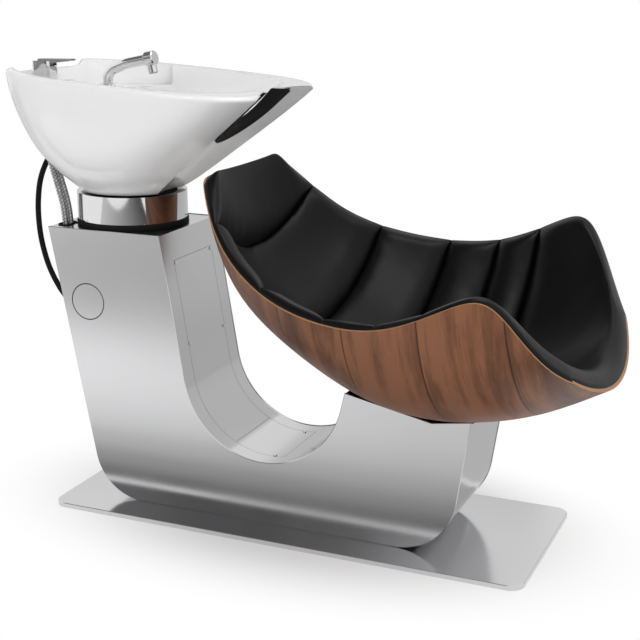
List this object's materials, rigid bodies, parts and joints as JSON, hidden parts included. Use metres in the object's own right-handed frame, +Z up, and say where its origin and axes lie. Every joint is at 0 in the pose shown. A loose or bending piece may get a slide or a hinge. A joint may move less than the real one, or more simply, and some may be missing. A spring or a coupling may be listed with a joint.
{
  "type": "shampoo_bed",
  "caption": "Salon shampoo unit: tilting ceramic wash basin on a bent steel pedestal, with a walnut shell lounge seat in channelled black leather.",
  "frame": {"origin": "centre of the floor plate's underside", "axes": "+X from the basin towards the seat's foot end, +Z up, +Y to the far side of the picture"},
  "size_m": [1.3006, 0.817, 0.9567],
  "materials": {
    "steel": "brushed",
    "chrome": "polished",
    "ceramic": "gloss",
    "walnut": "satin",
    "leather": "satin",
    "rubber": "matte",
    "frame_paint": "matte",
    "zinc": "satin",
    "braid": "braided",
    "brass": "satin",
    "plastic_black": "matte",
    "plastic_grey": "matte"
  },
  "bodies": {
    "stand": {"base_plate": "steel", "near_side_panel": "steel", "far_side_panel": "steel", "back_band": "steel", "inner_band": "steel", "nose_band": "steel", "column_lid": "steel", "upper_access_cover": "steel", "lower_access_cover": "steel", "cover_frame": "zinc", "cover_screws": "chrome", "blank_cover": "steel", "inner_frame": "frame_paint", "frame_screws": "zinc", "hose_grommet": "rubber", "rear_grommet": "rubber", "inlet_unions": "brass", "hot_supply_hose": "braid", "cold_supply_hose": "braid", "waste_hose": "plastic_grey", "waste_stub": "plastic_grey", "collar_seal": "rubber", "tilt_base": "frame_paint", "tilt_pins": "zinc", "friction_washers": "plastic_grey", "tilt_nuts": "zinc", "tilt_base_bolts": "zinc", "seat_saddle": "plastic_black", "seat_bolts": "zinc", "seat_shell": "walnut", "head_pad": "leather", "shoulder_pad": "leather", "lumbar_pad": "leather", "rear_seat_pad": "leather", "middle_seat_pad": "leather", "front_pad": "leather", "spray_hose": "rubber"},
    "basin": {"basin": "ceramic", "neck_gasket": "rubber", "tilt_head": "frame_paint", "collar": "chrome", "basin_gasket": "rubber", "drain_flange": "chrome", "drain_nut": "plastic_grey", "mixer_body": "chrome", "mixer_cartridge": "plastic_grey", "mixer_nut": "brass", "spray_holder": "chrome"},
    "mixer_cap": {"mixer_cap": "chrome", "lever_pin": "zinc"},
    "mixer_lever": {"mixer_lever": "chrome"},
    "spray": {"spray_handle": "chrome", "spray_head": "chrome", "spray_face": "plastic_grey", "spray_tail": "rubber"},
    "strainer": {"hair_strainer": "chrome"}
  },
  "joints": [
    {"name": "basin_tilt", "type": "hinge", "parent": "stand", "child": "basin", "pos_m": [-0.412, 0, 0.631], "axis": [0, 1, 0], "range_deg": [-4, 4], "deforming": ["hot_supply_hose", "cold_supply_hose", "spray_hose", "waste_hose", "collar_seal"]},
    {"name": "mixer_swing", "type": "hinge", "parent": "basin", "child": "mixer_cap", "pos_m": [-0.577, -0.06, 0.9263], "axis": [0, 0, 1], "range_deg": [-45, 45]},
    {"name": "mixer_lift", "type": "hinge", "parent": "mixer_cap", "child": "mixer_lever", "pos_m": [-0.586, -0.06, 0.9333], "axis": [0, -1, 0], "range_deg": [0, 22]},
    {"name": "spray_lift", "type": "slide", "parent": "basin", "child": "spray", "axis": [0, 0, 1], "range_m": [0, 0.15]},
    {"name": "strainer_lift", "type": "slide", "parent": "basin", "child": "strainer", "axis": [0, 0, 1], "range_m": [0, 0.15]}
  ]
}
